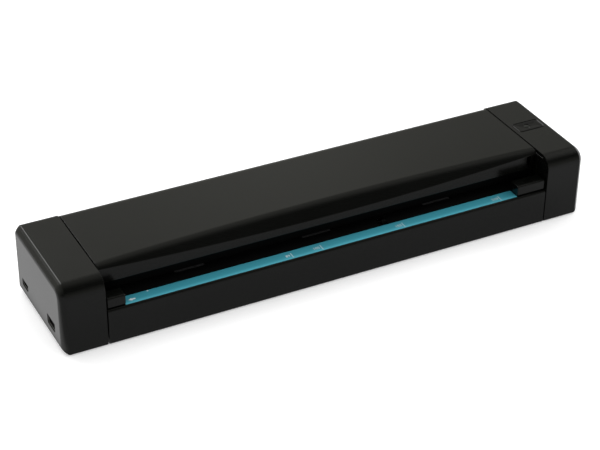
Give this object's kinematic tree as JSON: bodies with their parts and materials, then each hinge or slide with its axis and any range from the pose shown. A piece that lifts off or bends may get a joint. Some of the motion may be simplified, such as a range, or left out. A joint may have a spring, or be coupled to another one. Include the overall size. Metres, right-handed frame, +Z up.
{
  "type": "sheet-fed scanner",
  "caption": "Slim portable sheet-fed scanner: a hinged cover between end caps, feed strip and edge guides at the front, geared rollers inside.",
  "frame": {"origin": "on the desk under the middle of the body: centre of the bounding box's bottom face", "axes": "+X along the scanner to the right seen from the front, +Y from the front, where the sheet goes in, to the back, +Z up"},
  "size_m": [0.2932, 0.065, 0.0383],
  "materials": {
    "shell_black": "satin",
    "inner_black": "matte",
    "strip_blue": "satin",
    "rubber_grey": "matte",
    "steel": "satin",
    "acetal_white": "satin",
    "bronze": "satin",
    "board_green": "satin",
    "glass": "polished",
    "window_clear": "polished",
    "lead_grey": "satin"
  },
  "bodies": {
    "base": {"lower_housing": "shell_black", "left_end_cap": "shell_black", "right_end_cap": "shell_black", "feed_strip": "strip_blue", "lower_guide_plate": "inner_black", "left_edge_guide": "shell_black", "right_edge_guide": "shell_black", "lower_sensor_bar": "inner_black", "lower_sensor_glass": "glass", "main_board": "board_green", "data_socket": "steel", "power_socket": "steel", "drive_motor": "steel", "gear_plate": "steel", "button_board": "board_green", "button_switch": "inner_black", "foot_1": "rubber_grey", "foot_2": "rubber_grey", "foot_3": "rubber_grey", "foot_4": "rubber_grey", "feed_bush_left": "bronze", "feed_bush_right": "bronze", "exit_bush_left": "bronze", "exit_bush_right": "bronze", "case_screw_1": "steel", "case_screw_2": "steel", "case_screw_3": "steel", "case_screw_4": "steel", "sensor_ribbon": "lead_grey", "board_lead": "lead_grey"},
    "cover": {"top_cover": "shell_black", "upper_guide_plate": "inner_black", "upper_sensor_bar": "inner_black", "upper_sensor_glass": "glass", "left_hinge_pin": "steel", "right_hinge_pin": "steel", "front_pinch_spring": "steel", "rear_pinch_spring": "steel", "cover_lead": "lead_grey"},
    "feed_drive": {"feed_shaft": "steel", "feed_roller_1": "rubber_grey", "feed_roller_2": "rubber_grey", "feed_roller_3": "rubber_grey", "feed_gear": "acetal_white"},
    "exit_drive": {"exit_shaft": "steel", "exit_roller_1": "rubber_grey", "exit_roller_2": "rubber_grey", "exit_roller_3": "rubber_grey", "exit_gear": "acetal_white"},
    "front_pinch": {"front_pinch_roller": "acetal_white"},
    "rear_pinch": {"rear_pinch_roller": "acetal_white"},
    "idler": {"idler_gear": "acetal_white"},
    "motor_rotor": {"motor_pinion": "acetal_white"},
    "button": {"scan_button": "shell_black", "button_window": "window_clear"},
    "flag": {"paper_flag": "inner_black"}
  },
  "joints": [
    {"name": "cover_hinge", "type": "hinge", "parent": "base", "child": "cover", "pos_m": [0, 0.0271, 0.0329], "axis": [-1, 0, 0], "range_deg": [0, 75]},
    {"name": "feed_turn", "type": "hinge", "parent": "base", "child": "feed_drive", "pos_m": [0, -0.0125, 0.0145], "axis": [-1, 0, 0], "continuous": true},
    {"name": "exit_turn", "type": "hinge", "parent": "base", "child": "exit_drive", "pos_m": [0, 0.017, 0.0145], "axis": [-1, 0, 0], "continuous": true},
    {"name": "idler_turn", "type": "hinge", "parent": "base", "child": "idler", "pos_m": [0.1277, 0.00225, 0.0145], "axis": [-1, 0, 0], "continuous": true},
    {"name": "motor_turn", "type": "hinge", "parent": "base", "child": "motor_rotor", "pos_m": [0.1277, 0.017, 0.0245], "axis": [-1, 0, 0], "continuous": true},
    {"name": "front_pinch_turn", "type": "hinge", "parent": "cover", "child": "front_pinch", "pos_m": [0, -0.0125, 0.0239], "axis": [-1, 0, 0], "continuous": true},
    {"name": "rear_pinch_turn", "type": "hinge", "parent": "cover", "child": "rear_pinch", "pos_m": [0, 0.017, 0.0239], "axis": [-1, 0, 0], "continuous": true},
    {"name": "button_press", "type": "slide", "parent": "base", "child": "button", "axis": [0, 0, -1], "range_m": [0, 0.0006], "stiffness_N_per_m": 800, "springref_m": -0.0006},
    {"name": "flag_tip", "type": "hinge", "parent": "base", "child": "flag", "pos_m": [0.0314, -0.0219, 0.015], "axis": [-1, 0, 0], "range_deg": [0, 40], "stiffness_Nm_per_rad": 0.0005, "springref_deg": -20.05}
  ],
  "couplings": [
    {"joint": "exit_turn", "follows": "feed_turn", "ratio": 1},
    {"joint": "idler_turn", "follows": "feed_turn", "ratio": -0.90323},
    {"joint": "motor_turn", "follows": "feed_turn", "ratio": -2.3333},
    {"joint": "front_pinch_turn", "follows": "feed_turn", "ratio": -1.5278},
    {"joint": "rear_pinch_turn", "follows": "feed_turn", "ratio": -1.5278}
  ]
}
